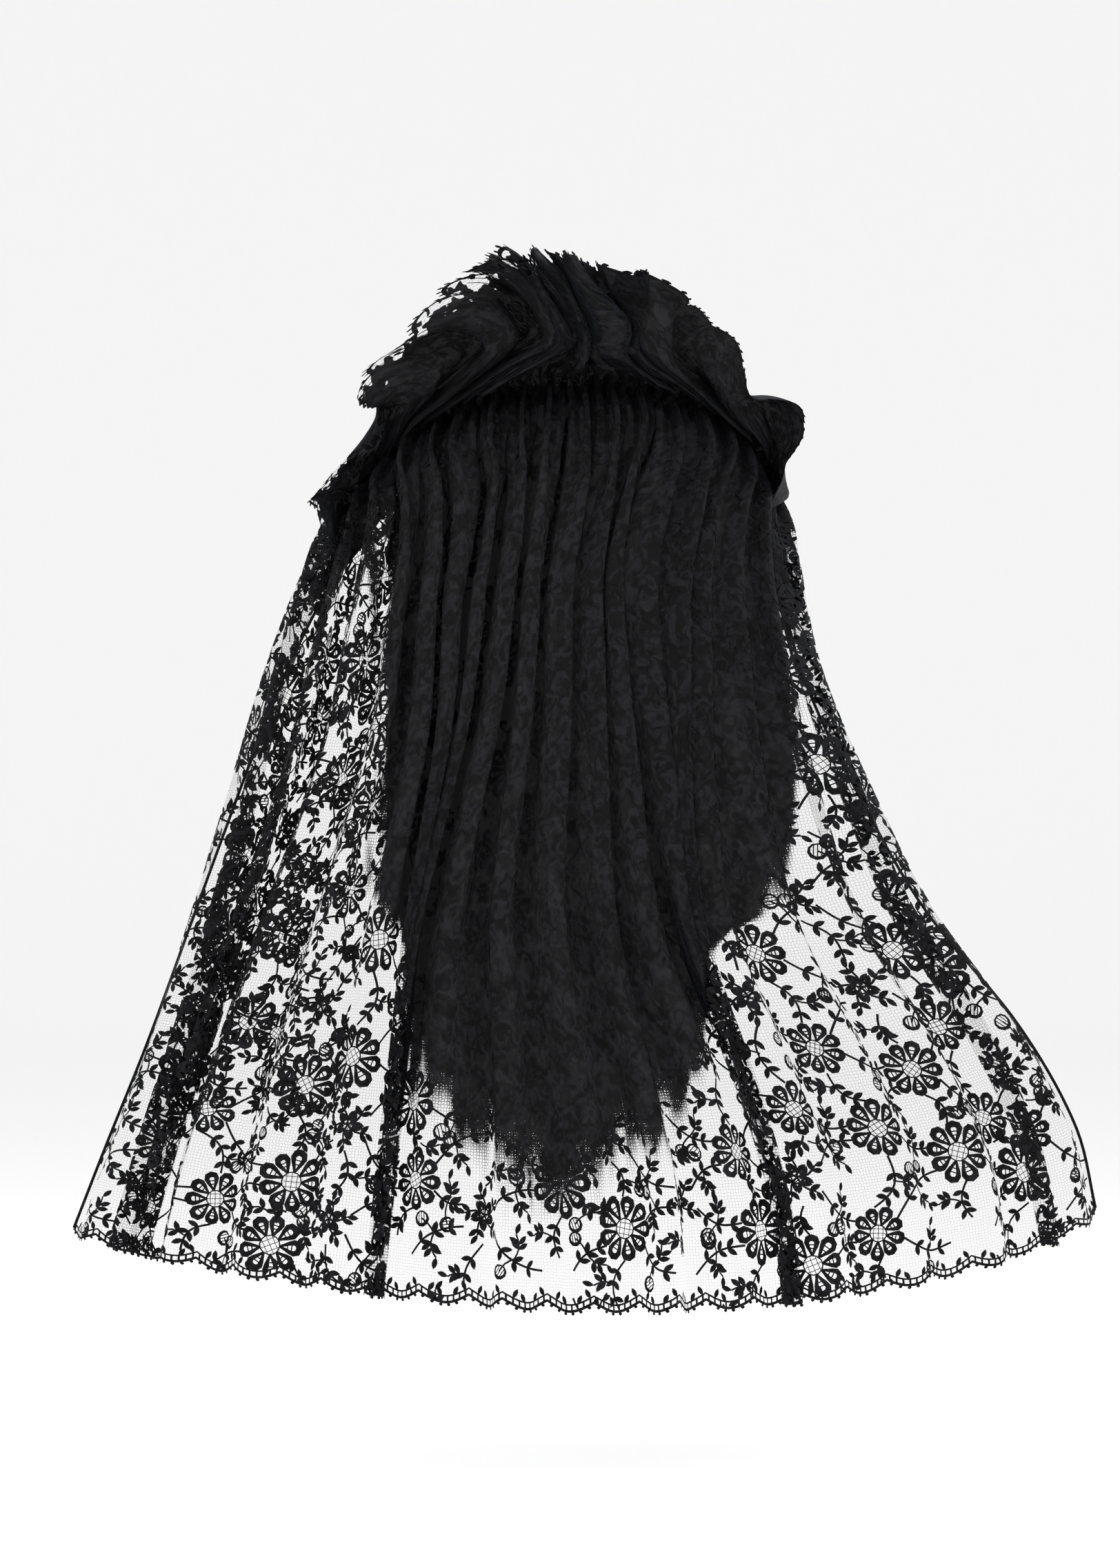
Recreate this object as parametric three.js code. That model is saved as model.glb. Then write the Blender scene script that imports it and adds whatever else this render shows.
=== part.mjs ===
// A black lace mantilla veil, seen as it is worn: a gathered frill over the crown of the head and a
// fall of lace with vertical folds, which opens from the head to the shoulders.
// Millimetres, +Z up. The origin is the middle of the gathers, where the comb holds the veil.
// -Y is behind the wearer, so a view along +Y sees the back of the veil.
import * as THREE from "three";

// Driving dimensions
const fallDrop = 388; // from the gathers down to the hem, at the middle of the back
const hemHalfWidth = 221; // from the middle to each side edge at the hem
const backDepth = 74; // how far the hem hangs behind the gathers
const sideReach = 45; // how far forward the gathers run at the sides of the head
const clothWidth = 860; // flat width of the lace before it is gathered
const ruffleHalfSpan = 116; // half of the frill's span across the head
const ruffleHeight = 58; // how high the frill stands above the gathers
const ruffleLean = 58; // how far the frill could tip back, if it lay flat
const scallopDepth = 4; // how far each scallop of the free edges stands out
const lace = 1.2; // thickness of the lace walls
const clearance = 0.3; // gap between sewn neighbours
const seamGap = 1.6; // upright gap along the gathers between the fall and the frill

const bandHeight = 6;
const bandThickness = 2.4;
const selvageDiameter = 2.4;

const bandReach = 0.97; // how far the band runs along the gathers towards their ends

const combWidth = 76;
const combBarHeight = 8;
const combThickness = 2.6;
const combTeeth = 12;
const toothLength = 30;
const toothWidth = 2.4;

// Faceting
const columnsPerFold = 6;
const columnsPerFlute = 8;
const fallSteps = 14;
const ruffleSteps = 5;
const sideSteps = 36;
const baseSteps = 60;

// The smooth surface under the folds. down is the share of fallDrop, left and right are the edges'
// distances from the middle as shares of hemHalfWidth, back is a share of backDepth, edgeLeft and
// edgeRight are how far forward the edges are as shares of sideReach, and wrap is how far the
// section turns round the head, in degrees from the middle of the back.
const FALL_SECTIONS = [
  { down: 0.0, left: 0.4, right: 0.345, back: 0.0, edgeLeft: 1.0, edgeRight: 0.89, wrap: 80 },
  { down: 0.04, left: 0.437, right: 0.362, back: 0.25, edgeLeft: 0.98, edgeRight: 0.9, wrap: 82 },
  { down: 0.09, left: 0.492, right: 0.38, back: 0.45, edgeLeft: 0.94, edgeRight: 0.91, wrap: 84 },
  { down: 0.16, left: 0.548, right: 0.398, back: 0.66, edgeLeft: 0.88, edgeRight: 0.91, wrap: 84 },
  { down: 0.27, left: 0.617, right: 0.443, back: 0.84, edgeLeft: 0.79, edgeRight: 0.86, wrap: 82 },
  { down: 0.42, left: 0.695, right: 0.542, back: 0.93, edgeLeft: 0.64, edgeRight: 0.7, wrap: 76 },
  { down: 0.58, left: 0.776, right: 0.67, back: 0.95, edgeLeft: 0.49, edgeRight: 0.5, wrap: 68 },
  { down: 0.74, left: 0.857, right: 0.85, back: 0.95, edgeLeft: 0.33, edgeRight: 0.3, wrap: 62 },
  { down: 0.88, left: 0.935, right: 0.96, back: 0.97, edgeLeft: 0.2, edgeRight: 0.18, wrap: 58 },
  { down: 1.0, left: 1.0, right: 1.0, back: 1.0, edgeLeft: 0.11, edgeRight: 0.11, wrap: 56 },
];

// How far the gathers and the hem sit below or above their middle at the two sides, as shares of
// fallDrop. A higher power keeps a line level for longer before it bends.
const LINES = {
  gathers: { left: -0.131, right: -0.113, leftPower: 2.2, rightPower: 2.2 },
  hem: { left: 0.067, right: 0.089, leftPower: 1.3, rightPower: 2.2 },
};

// One row for each fold, from the left edge to the right edge. width is its share of the cloth, and
// high and low are how strongly it stands at the head and at the hem. tip leans it to one side.
const FOLDS = [
  { width: 0.045, high: 0.5, low: 0.3, tip: 0.1 },
  { width: 0.05, high: 0.8, low: 1.0, tip: 0.3 },
  { width: 0.05, high: 0.8, low: 1.3, tip: -0.2 },
  { width: 0.05, high: 0.8, low: 0.5, tip: 0.2 },
  { width: 0.05, high: 0.9, low: 0.35, tip: 0.0 },
  { width: 0.05, high: 1.0, low: 0.3, tip: -0.1 },
  { width: 0.055, high: 1.0, low: 1.9, tip: 0.3 },
  { width: 0.05, high: 1.0, low: 1.3, tip: 0.2 },
  { width: 0.05, high: 1.0, low: 0.35, tip: 0.0 },
  { width: 0.05, high: 1.0, low: 0.5, tip: 0.15 },
  { width: 0.05, high: 1.0, low: 0.35, tip: 0.0 },
  { width: 0.05, high: 1.0, low: 0.6, tip: -0.15 },
  { width: 0.05, high: 1.0, low: 0.4, tip: 0.0 },
  { width: 0.05, high: 1.0, low: 1.3, tip: -0.2 },
  { width: 0.055, high: 1.0, low: 1.9, tip: -0.3 },
  { width: 0.05, high: 0.9, low: 0.35, tip: 0.0 },
  { width: 0.05, high: 0.8, low: 0.3, tip: 0.1 },
  { width: 0.05, high: 0.7, low: 0.4, tip: 0.0 },
  { width: 0.05, high: 0.6, low: 0.8, tip: -0.2 },
  { width: 0.045, high: 0.45, low: 0.3, tip: 0.0 },
];

// The most cloth that a section takes up, as a share of its smooth length.
const FULLNESS = [
  { down: 0.0, most: 1.0 },
  { down: 0.015, most: 1.01 },
  { down: 0.05, most: 1.16 },
  { down: 0.14, most: 1.42 },
  { down: 0.3, most: 1.55 },
  { down: 1.0, most: 1.6 },
];

// The smooth surface under the frill's flutes, from left to right. across is a place on the free
// edge and root the place on the gathers that it springs from, both from -1 to 1. out and up place
// the edge as shares of ruffleHalfSpan and ruffleHeight, and lean tips it back, as a share of
// ruffleLean.
const FRILL = [
  { across: -1.0, root: -1.0, out: -0.9, up: -1.3, lean: 1.3 },
  { across: -0.93, root: -0.95, out: -0.99, up: -1.08, lean: 1.25 },
  { across: -0.86, root: -0.88, out: -1.06, up: -0.82, lean: 1.05 },
  { across: -0.79, root: -0.8, out: -0.91, up: -0.57, lean: 0.75 },
  { across: -0.73, root: -0.7, out: -0.81, up: -0.33, lean: 0.45 },
  { across: -0.66, root: -0.58, out: -0.84, up: -0.07, lean: 0.15 },
  { across: -0.59, root: -0.48, out: -0.85, up: 0.09, lean: 0.2 },
  { across: -0.5, root: -0.37, out: -0.69, up: 0.41, lean: 0.25 },
  { across: -0.41, root: -0.28, out: -0.54, up: 0.76, lean: 0.3 },
  { across: -0.31, root: -0.19, out: -0.37, up: 0.97, lean: 0.2 },
  { across: -0.19, root: -0.11, out: -0.19, up: 0.96, lean: 0.15 },
  { across: -0.08, root: -0.04, out: -0.05, up: 1.0, lean: 0.2 },
  { across: 0.04, root: 0.03, out: 0.07, up: 0.91, lean: 0.25 },
  { across: 0.16, root: 0.1, out: 0.21, up: 0.84, lean: 0.15 },
  { across: 0.28, root: 0.18, out: 0.33, up: 0.75, lean: 0.25 },
  { across: 0.4, root: 0.28, out: 0.47, up: 0.55, lean: 0.2 },
  { across: 0.52, root: 0.4, out: 0.6, up: 0.29, lean: 0.25 },
  { across: 0.62, root: 0.52, out: 0.67, up: 0.05, lean: 0.3 },
  { across: 0.72, root: 0.64, out: 0.81, up: -0.12, lean: 0.35 },
  { across: 0.82, root: 0.76, out: 0.845, up: -0.34, lean: 0.4 },
  { across: 0.91, root: 0.88, out: 0.785, up: -0.62, lean: 0.5 },
  { across: 1.0, root: 1.0, out: 0.66, up: -0.9, lean: 0.6 },
];
const frillRise = 26; // how far the frill first stands straight out from the gathers

// One row for each flute of the frill, from left to right, as in FOLDS. low is at the free edge.
const FLUTES = [
  { width: 0.07, high: 0.3, low: 0.12, tip: 0.0 },
  { width: 0.075, high: 0.4, low: 0.2, tip: -0.2 },
  { width: 0.08, high: 0.8, low: 0.5, tip: 0.3 },
  { width: 0.08, high: 1.0, low: 0.9, tip: -0.2 },
  { width: 0.085, high: 1.0, low: 1.4, tip: 0.4 },
  { width: 0.075, high: 1.0, low: 1.0, tip: -0.3 },
  { width: 0.08, high: 1.0, low: 1.3, tip: 0.2 },
  { width: 0.075, high: 1.0, low: 1.1, tip: -0.4 },
  { width: 0.08, high: 1.0, low: 1.4, tip: 0.3 },
  { width: 0.08, high: 1.0, low: 1.0, tip: -0.3 },
  { width: 0.08, high: 0.9, low: 0.6, tip: 0.3 },
  { width: 0.075, high: 0.5, low: 0.3, tip: -0.2 },
  { width: 0.065, high: 0.3, low: 0.15, tip: 0.0 },
];
const FRILL_FULLNESS = [
  { down: 0.0, most: 1.45 },
  { down: 0.4, most: 1.4 },
  { down: 0.8, most: 1.08 },
  { down: 1.0, most: 1.0 },
];

const laceMaterial = new THREE.MeshStandardMaterial({ color: 0x1b1b1d, roughness: 0.85, metalness: 0 });
const edgeMaterial = new THREE.MeshStandardMaterial({ color: 0x131315, roughness: 0.8, metalness: 0 });
const combMaterial = new THREE.MeshStandardMaterial({ color: 0x0e0e10, roughness: 0.4, metalness: 0 });

// A value from a table at key = at, on a smooth curve through its rows.
function fromTable(rows, key, name, at) {
  const last = rows.length - 1;
  let i = 0;
  while (i < last - 1 && rows[i + 1][key] < at) i += 1;
  const row = (n) => rows[Math.min(Math.max(n, 0), last)];
  const slope = (n) => {
    const run = row(n + 1)[key] - row(n - 1)[key];
    return run > 0 ? (row(n + 1)[name] - row(n - 1)[name]) / run : 0;
  };
  const span = row(i + 1)[key] - row(i)[key];
  const s = Math.min(Math.max((at - row(i)[key]) / span, 0), 1);
  const s2 = s * s;
  const s3 = s2 * s;
  return (
    (2 * s3 - 3 * s2 + 1) * row(i)[name] +
    (s3 - 2 * s2 + s) * span * slope(i) +
    (3 * s2 - 2 * s3) * row(i + 1)[name] +
    (s3 - s2) * span * slope(i + 1)
  );
}

// Height of the gathers or of the hem at a place from -1, the left edge, to 1, the right edge.
function lineHeight(line, across) {
  const side = across < 0 ? line.left : line.right;
  const power = across < 0 ? line.leftPower : line.rightPower;
  return side * fallDrop * Math.abs(across) ** power;
}

// The fall's top edge sits this far below the gathers. The gap opens where the gathers slope.
function rimGap(across) {
  return (seamGap / 2) * (1 + across * across);
}

// A point of the smooth surface under the folds of the fall.
function fallPoint(across, down) {
  const section = (name) => fromTable(FALL_SECTIONS, "down", name, down);
  const wrap = THREE.MathUtils.degToRad(section("wrap"));
  const turn = Math.abs(across) * wrap;
  const half = (across < 0 ? -section("left") : section("right")) * hemHalfWidth;
  const back = -section("back") * backDepth;
  const edge = section(across < 0 ? "edgeLeft" : "edgeRight") * sideReach;
  const top = lineHeight(LINES.gathers, across) - rimGap(across);
  const bottom = -fallDrop + lineHeight(LINES.hem, across);
  return new THREE.Vector3(
    (half * Math.sin(turn)) / Math.sin(wrap),
    back + ((edge - back) * (1 - Math.cos(turn))) / (1 - Math.cos(wrap)),
    top + (bottom - top) * down,
  );
}

// A point of the smooth surface under the frill. down runs from the free edge to the gathers.
function frillPoint(across, down) {
  const edgeAt = (name) => fromTable(FRILL, "across", name, across);
  const seat = fallPoint(edgeAt("root"), 0);
  const headCentre = new THREE.Vector3(0, sideReach, -1.3 * sideReach);
  const away = seat.clone().sub(headCentre).normalize();
  const root = seat.clone().add(new THREE.Vector3(0, 0, 2 * rimGap(edgeAt("root"))));
  const middle = root.clone().addScaledVector(away, frillRise);
  const edge = new THREE.Vector3(
    edgeAt("out") * ruffleHalfSpan,
    seat.y - edgeAt("lean") * ruffleLean,
    edgeAt("up") * ruffleHeight,
  );
  const out = 1 - down;
  return new THREE.Vector3()
    .addScaledVector(root, down * down)
    .addScaledVector(middle, 2 * down * out)
    .addScaledVector(edge, out * out);
}

// A smooth surface's direction away from the wearer.
function outward(surface, across, down) {
  const step = 0.01;
  const west = Math.max(across - step, -1);
  const east = Math.min(across + step, 1);
  const over = Math.max(down - step, 0);
  const under = Math.min(down + step, 1);
  const sideways = surface(east, down).sub(surface(west, down));
  const downwards = surface(across, under).sub(surface(across, over));
  return downwards.cross(sideways).normalize();
}

// One row of a smooth surface: its length, and the place from -1 to 1 at a length along it.
function smoothRow(surface, down) {
  const places = [];
  const lengths = [0];
  for (let i = 0; i <= baseSteps; i += 1) places.push(-1 + (2 * i) / baseSteps);
  for (let i = 1; i <= baseSteps; i += 1) {
    const step = surface(places[i], down).distanceTo(surface(places[i - 1], down));
    lengths.push(lengths[i - 1] + step);
  }
  const placeAt = (length) => {
    let i = 1;
    while (i < baseSteps && lengths[i] < length) i += 1;
    const share = (length - lengths[i - 1]) / (lengths[i] - lengths[i - 1]);
    return places[i - 1] + (places[i] - places[i - 1]) * share;
  };
  return { length: lengths[baseSteps], placeAt };
}

// The angle that the cloth turns from the smooth surface, part of the way through one fold.
function foldAngle(strength, tip, share, bend) {
  const steepest = 1.75;
  const angle = Math.min(bend * strength, steepest);
  return angle * (Math.sin(2 * Math.PI * share) + tip * Math.sin(Math.PI * share) ** 2);
}

// One row of folded cloth. The folds' angles are scaled until the cloth's width fits the smooth
// row. gathered is 1 where the folds have their high strength and 0 where they have their low one.
function foldedRow(surface, down, folds, columns, fullness, gathered) {
  const smooth = smoothRow(surface, down);
  const cloth = Math.min(clothWidth, smooth.length * fromTable(fullness, "down", "most", down));
  const walk = (bend) => {
    const marks = [{ along: 0, out: 0 }];
    let along = 0;
    for (const fold of folds) {
      const strength = fold.low + (fold.high - fold.low) * gathered;
      const step = (fold.width * cloth) / columns;
      const outs = [0];
      for (let j = 0; j < columns; j += 1) {
        const angle = foldAngle(strength, fold.tip, (j + 0.5) / columns, bend);
        along += step * Math.cos(angle);
        outs.push(outs[j] + step * Math.sin(angle));
        marks.push({ along, out: outs[j + 1] });
      }
      const drift = outs[columns];
      for (let j = 1; j <= columns; j += 1) {
        marks[marks.length - 1 - columns + j].out -= (drift * j) / columns;
      }
    }
    return { marks, along };
  };
  let low = 0;
  let high = 2.2;
  for (let i = 0; i < 30; i += 1) {
    const middle = (low + high) / 2;
    if (walk(middle).along > smooth.length) low = middle;
    else high = middle;
  }
  const { marks, along } = walk(low);
  return marks.map((mark) => {
    const place = smooth.placeAt((mark.along * smooth.length) / along);
    return surface(place, down).addScaledVector(outward(surface, place, down), mark.out);
  });
}

// Draws a free edge out into scallops, one for each fold. Each point moves away from the next row.
function scallop(edge, next, columns) {
  edge.forEach((point, j) => {
    const bulge = Math.sin((Math.PI * (j % columns)) / columns);
    const away = point.clone().sub(next[j]).normalize();
    point.addScaledVector(away, scallopDepth * bulge);
  });
}

// A closed wall of even thickness about a grid of points, rows from the top and columns from the left.
function wallGeometry(grid, thickness) {
  const rows = grid.length;
  const columns = grid[0].length;
  const at = (i, j) => grid[Math.min(Math.max(i, 0), rows - 1)][Math.min(Math.max(j, 0), columns - 1)];
  const positions = [];
  for (const side of [0.5, -0.5]) {
    for (let i = 0; i < rows; i += 1) {
      for (let j = 0; j < columns; j += 1) {
        const east = at(i, j + 1).clone().sub(at(i, j - 1));
        const south = at(i + 1, j).clone().sub(at(i - 1, j));
        const normal = south.cross(east).normalize();
        const point = at(i, j).clone().addScaledVector(normal, side * thickness);
        positions.push(point.x, point.y, point.z);
      }
    }
  }
  const outer = (i, j) => i * columns + j;
  const inner = (i, j) => rows * columns + i * columns + j;
  const index = [];
  const quad = (a, b, c, d) => index.push(a, b, c, a, c, d);
  for (let i = 0; i < rows - 1; i += 1) {
    for (let j = 0; j < columns - 1; j += 1) {
      quad(outer(i, j), outer(i + 1, j), outer(i + 1, j + 1), outer(i, j + 1));
      quad(inner(i, j), inner(i, j + 1), inner(i + 1, j + 1), inner(i + 1, j));
    }
  }
  for (let j = 0; j < columns - 1; j += 1) {
    quad(outer(0, j), outer(0, j + 1), inner(0, j + 1), inner(0, j));
    quad(outer(rows - 1, j), inner(rows - 1, j), inner(rows - 1, j + 1), outer(rows - 1, j + 1));
  }
  for (let i = 0; i < rows - 1; i += 1) {
    quad(outer(i, 0), inner(i, 0), inner(i + 1, 0), outer(i + 1, 0));
    quad(outer(i, columns - 1), outer(i + 1, columns - 1), inner(i + 1, columns - 1), inner(i, columns - 1));
  }
  const geometry = new THREE.BufferGeometry();
  geometry.setAttribute("position", new THREE.Float32BufferAttribute(positions, 3));
  geometry.setIndex(index);
  geometry.computeVertexNormals();
  return geometry;
}

// The fall's rows are closer together over the crown, where it curves most.
function fallGrid() {
  const grid = [];
  for (let i = 0; i <= fallSteps; i += 1) {
    const share = i / fallSteps;
    const down = share * (0.35 + 0.65 * share);
    const gathered = 1 - THREE.MathUtils.smoothstep(down, 0.15, 0.95);
    grid.push(foldedRow(fallPoint, down, FOLDS, columnsPerFold, FULLNESS, gathered));
  }
  scallop(grid[fallSteps], grid[fallSteps - 1], columnsPerFold);
  return grid;
}

function frillGrid() {
  const grid = [];
  for (let i = 0; i <= ruffleSteps; i += 1) {
    const down = i / ruffleSteps;
    grid.push(foldedRow(frillPoint, down, FLUTES, columnsPerFlute, FRILL_FULLNESS, down));
  }
  scallop(grid[0], grid[1], columnsPerFlute / 2);
  return grid;
}

// A place on the gathers, and the level direction from there towards the head.
function seam(across) {
  const step = 0.01;
  const point = fallPoint(across, 0).add(new THREE.Vector3(0, 0, rimGap(across)));
  const along = fallPoint(across + step, 0).sub(fallPoint(across - step, 0));
  return { point, inward: new THREE.Vector3(-along.y, along.x, 0).normalize() };
}

// The band: a strip on edge along the inside of the gathers.
function bandGeometry() {
  const inset = lace / 2 + clearance + bandThickness / 2;
  const grid = [0.5, -0.5].map((side) => {
    const row = [];
    for (let j = 0; j <= 2 * sideSteps; j += 1) {
      const { point, inward } = seam(bandReach * (-1 + j / sideSteps));
      point.addScaledVector(inward, inset);
      point.z += side * bandHeight;
      row.push(point);
    }
    return row;
  });
  return wallGeometry(grid, bandThickness);
}

// A round cord through a list of points, with flat ends.
function cordGeometry(points, diameter) {
  const sides = 6;
  const last = points.length - 1;
  const positions = [];
  const index = [];
  points.forEach((point, i) => {
    const along = points[Math.min(i + 1, last)].clone().sub(points[Math.max(i - 1, 0)]).normalize();
    const across = new THREE.Vector3(0, 1, 0).cross(along).normalize();
    const up = along.clone().cross(across);
    for (let k = 0; k < sides; k += 1) {
      const turn = (2 * Math.PI * k) / sides;
      const spot = point.clone();
      spot.addScaledVector(across, (diameter / 2) * Math.cos(turn));
      spot.addScaledVector(up, (diameter / 2) * Math.sin(turn));
      positions.push(spot.x, spot.y, spot.z);
    }
  });
  for (let i = 0; i < last; i += 1) {
    for (let k = 0; k < sides; k += 1) {
      const a = i * sides + k;
      const b = i * sides + ((k + 1) % sides);
      index.push(a, b, b + sides, a, b + sides, a + sides);
    }
  }
  for (let k = 1; k < sides - 1; k += 1) {
    index.push(0, k + 1, k);
    index.push(last * sides, last * sides + k, last * sides + k + 1);
  }
  const geometry = new THREE.BufferGeometry();
  geometry.setAttribute("position", new THREE.Float32BufferAttribute(positions, 3));
  geometry.setIndex(index);
  geometry.computeVertexNormals();
  return geometry;
}

// A side edge's cord, beside the first or the last column of the fall.
function selvagePoints(grid, first) {
  const side = grid.map((row) => (first ? row.slice(0, 2) : row.slice(-2).reverse()));
  const last = side.length - 1;
  return side.map(([edge, inside], i) => {
    const along = side[Math.min(i + 1, last)][0].clone().sub(side[Math.max(i - 1, 0)][0]).normalize();
    const away = edge.clone().sub(inside);
    away.addScaledVector(along, -away.dot(along)).normalize();
    return edge.clone().addScaledVector(away, selvageDiameter / 2 + clearance);
  });
}

// The place on the gathers, from -1 to 1, at a distance from the middle.
function placeAt(x) {
  const half = (x < 0 ? FALL_SECTIONS[0].left : FALL_SECTIONS[0].right) * hemHalfWidth;
  const wrap = THREE.MathUtils.degToRad(FALL_SECTIONS[0].wrap);
  return Math.asin((x / half) * Math.sin(wrap)) / wrap;
}

// The comb: a bar that follows the inside of the band, with its teeth down into the hair.
function combGeometry() {
  const pitch = (combWidth - toothWidth) / (combTeeth - 1);
  const barTop = bandHeight / 2;
  const barBottom = barTop - combBarHeight;
  const tip = barBottom - toothLength;
  const outline = [];
  const xs = [];
  for (let i = 0; i < combTeeth; i += 1) {
    const x = -combWidth / 2 + i * pitch;
    xs.push(x, x + toothWidth);
    outline.push([x, barBottom], [x + toothWidth * 0.25, tip]);
    outline.push([x + toothWidth * 0.75, tip], [x + toothWidth, barBottom]);
  }
  for (const x of xs.reverse()) outline.push([x, barTop]);
  const shape = new THREE.Shape(outline.map(([x, z]) => new THREE.Vector2(x, z)));
  const geometry = new THREE.ExtrudeGeometry(shape, { depth: combThickness, bevelEnabled: false });
  const inset = lace / 2 + bandThickness + 2 * clearance;
  const position = geometry.getAttribute("position");
  for (let i = 0; i < position.count; i += 1) {
    const height = position.getY(i);
    const { point, inward } = seam(placeAt(position.getX(i)));
    point.addScaledVector(inward, inset + combThickness - position.getZ(i));
    position.setXYZ(i, point.x, point.y, height);
  }
  geometry.computeVertexNormals();
  return geometry;
}

const veil = new THREE.Group();

function addPiece(name, geometry, material) {
  const mesh = new THREE.Mesh(geometry, material);
  mesh.name = name;
  veil.add(mesh);
}

const fall = fallGrid();
addPiece("veil_fall", wallGeometry(fall, lace), laceMaterial);
addPiece("selvage_left", cordGeometry(selvagePoints(fall, true), selvageDiameter), edgeMaterial);
addPiece("selvage_right", cordGeometry(selvagePoints(fall, false), selvageDiameter), edgeMaterial);
addPiece("ruffle", wallGeometry(frillGrid(), lace), laceMaterial);
addPiece("gathering_band", bandGeometry(), edgeMaterial);
addPiece("hair_comb", combGeometry(), combMaterial);

export default veil;
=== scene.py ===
"""A black lace mantilla veil, gathered to a frill over the crown, with a folded fall to the shoulders."""

import math

import bpy
import numpy as np
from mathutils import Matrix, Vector


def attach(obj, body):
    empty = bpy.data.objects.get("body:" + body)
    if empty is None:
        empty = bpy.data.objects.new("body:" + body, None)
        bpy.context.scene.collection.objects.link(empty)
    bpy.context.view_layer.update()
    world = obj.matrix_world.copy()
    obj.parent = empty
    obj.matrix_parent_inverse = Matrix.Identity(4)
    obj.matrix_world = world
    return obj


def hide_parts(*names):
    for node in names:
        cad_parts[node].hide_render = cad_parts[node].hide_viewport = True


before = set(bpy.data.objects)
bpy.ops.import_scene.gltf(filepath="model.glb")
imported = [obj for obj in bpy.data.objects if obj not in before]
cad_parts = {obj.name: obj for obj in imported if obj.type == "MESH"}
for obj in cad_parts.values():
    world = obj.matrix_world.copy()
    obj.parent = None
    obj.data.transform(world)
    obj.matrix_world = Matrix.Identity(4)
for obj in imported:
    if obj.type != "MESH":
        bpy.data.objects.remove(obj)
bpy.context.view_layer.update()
scene = bpy.context.scene

MM = 0.001

# Sizes in millimetres, as in the part
FALL_DROP = 388.0
HEM_HALF_WIDTH = 221.0
BACK_DEPTH = 74.0
SIDE_REACH = 45.0
CLOTH_WIDTH = 860.0
RUFFLE_HALF_SPAN = 116.0
RUFFLE_HEIGHT = 58.0
RUFFLE_LEAN = 58.0
FRILL_RISE = 26.0
FRILL_LENGTH = 76.0
SCALLOP_DEPTH = 4.0
SEAM_GAP = 0.4  # upright gap between the fall and the frill at the gathers

# The fall's smooth form at heights down it, each a share of a size above: how far it reaches to the
# left and the right, how deep the back stands, where the side edges lie, and its turn in degrees
FALL_SECTIONS = dict(
    down=[0.0, 0.04, 0.09, 0.16, 0.27, 0.42, 0.58, 0.74, 0.88, 1.0],
    left=[0.4, 0.437, 0.492, 0.548, 0.617, 0.695, 0.776, 0.857, 0.935, 1.0],
    right=[0.345, 0.362, 0.38, 0.398, 0.443, 0.542, 0.67, 0.85, 0.96, 1.0],
    back=[0.0, 0.25, 0.45, 0.66, 0.84, 0.93, 0.95, 0.95, 0.97, 1.0],
    edge_left=[1.0, 0.98, 0.94, 0.88, 0.79, 0.64, 0.49, 0.33, 0.2, 0.11],
    edge_right=[0.89, 0.9, 0.91, 0.91, 0.86, 0.7, 0.5, 0.3, 0.18, 0.11],
    wrap=[80, 82, 84, 84, 82, 76, 68, 62, 58, 56],
)
# How far the gathers and the hem rise or sink to each side, as shares of the drop
GATHER_LINE = dict(left=-0.131, right=-0.113, left_power=2.2, right_power=2.2)
HEM_LINE = dict(left=0.067, right=0.089, left_power=1.3, right_power=2.2)

# Each fold: its share of the cloth, its strength at the head and at the hem, its lean, and how
# strongly its fine pleats stand
FOLDS = [
    (0.045, 0.5, 0.3, 0.1, 0.15),
    (0.05, 0.8, 1.0, 0.3, 1.0),
    (0.05, 0.8, 1.3, -0.2, 1.2),
    (0.05, 0.8, 0.5, 0.2, 1.2),
    (0.05, 0.9, 0.35, 0.0, 0.9),
    (0.05, 1.0, 0.3, -0.1, 1.0),
    (0.055, 1.0, 1.9, 0.3, 1.3),
    (0.05, 1.0, 1.3, 0.2, 1.2),
    (0.05, 1.0, 0.35, 0.0, 1.1),
    (0.05, 1.0, 0.5, 0.15, 1.2),
    (0.05, 1.0, 0.35, 0.0, 1.2),
    (0.05, 1.0, 0.6, -0.15, 1.2),
    (0.05, 1.0, 0.4, 0.0, 1.1),
    (0.05, 1.0, 1.3, -0.2, 1.2),
    (0.055, 1.0, 1.9, -0.3, 1.3),
    (0.05, 0.9, 0.35, 0.0, 0.6),
    (0.05, 0.8, 0.3, 0.1, 0.3),
    (0.05, 0.7, 0.4, 0.0, 0.3),
    (0.05, 0.6, 0.8, -0.2, 0.4),
    (0.045, 0.45, 0.3, 0.0, 0.15),
]
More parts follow.
